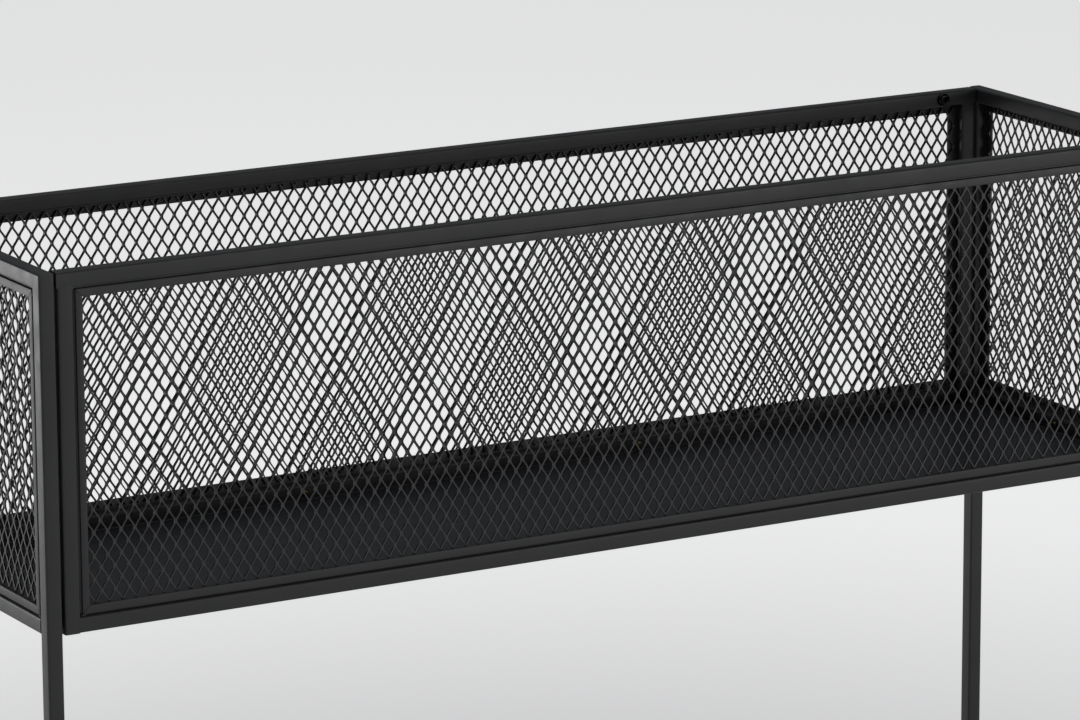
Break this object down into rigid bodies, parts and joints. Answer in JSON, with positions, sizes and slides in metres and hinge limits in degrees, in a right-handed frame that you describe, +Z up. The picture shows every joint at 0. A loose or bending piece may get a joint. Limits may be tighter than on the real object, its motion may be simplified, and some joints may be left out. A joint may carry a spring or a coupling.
{
  "type": "raised planter on legs",
  "caption": "Long open planter box on tall straight legs: square steel tube frames filled with expanded metal mesh, with a folded sheet floor tray.",
  "frame": {"origin": "on the ground, under the centre of the planter box", "axes": "+X along the length towards the right end, +Y from front to back, +Z up"},
  "size_m": [1.2, 0.325, 0.8],
  "materials": {
    "frame_coat": "fine-textured black powder coat, satin",
    "retainer_coat": "fine-textured black powder coat, satin",
    "mesh_coat": "black powder coat, satin",
    "tray_coat": "black powder coat, smooth satin",
    "zinc_plate": "yellow zinc plate on steel, darkened",
    "foot_plastic": "moulded, matte"
  },
  "bodies": {
    "root": {"front_left_leg": "frame_coat", "front_right_leg": "frame_coat", "back_left_leg": "frame_coat", "back_right_leg": "frame_coat", "left_end_top_rail": "frame_coat", "right_end_top_rail": "frame_coat", "left_end_lower_rail": "frame_coat", "right_end_lower_rail": "frame_coat", "front_top_rail": "frame_coat", "front_lower_rail": "frame_coat", "front_left_upright": "frame_coat", "front_right_upright": "frame_coat", "back_top_rail": "frame_coat", "back_lower_rail": "frame_coat", "back_left_upright": "frame_coat", "back_right_upright": "frame_coat", "front_left_tongue": "frame_coat", "front_right_tongue": "frame_coat", "back_left_tongue": "frame_coat", "back_right_tongue": "frame_coat", "front_retainer_lower": "retainer_coat", "front_retainer_upper": "retainer_coat", "front_retainer_start": "retainer_coat", "front_retainer_finish": "retainer_coat", "back_retainer_lower": "retainer_coat", "back_retainer_upper": "retainer_coat", "back_retainer_start": "retainer_coat", "back_retainer_finish": "retainer_coat", "left_end_retainer_lower": "retainer_coat", "left_end_retainer_upper": "retainer_coat", "left_end_retainer_start": "retainer_coat", "left_end_retainer_finish": "retainer_coat", "right_end_retainer_lower": "retainer_coat", "right_end_retainer_upper": "retainer_coat", "right_end_retainer_start": "retainer_coat", "right_end_retainer_finish": "retainer_coat", "front_mesh": "mesh_coat", "back_mesh": "mesh_coat", "left_end_mesh": "mesh_coat", "right_end_mesh": "mesh_coat", "floor_tray": "tray_coat", "front_left_bolt": "zinc_plate", "front_right_bolt": "zinc_plate", "back_left_bolt": "zinc_plate", "back_right_bolt": "zinc_plate", "tray_screw_front_left": "zinc_plate", "tray_screw_front_right": "zinc_plate", "tray_screw_back_left": "zinc_plate", "tray_screw_back_right": "zinc_plate", "tray_screw_left_end": "zinc_plate", "tray_screw_right_end": "zinc_plate", "front_left_foot_cap": "foot_plastic", "front_right_foot_cap": "foot_plastic", "back_left_foot_cap": "foot_plastic", "back_right_foot_cap": "foot_plastic"}
  },
  "joints": []
}
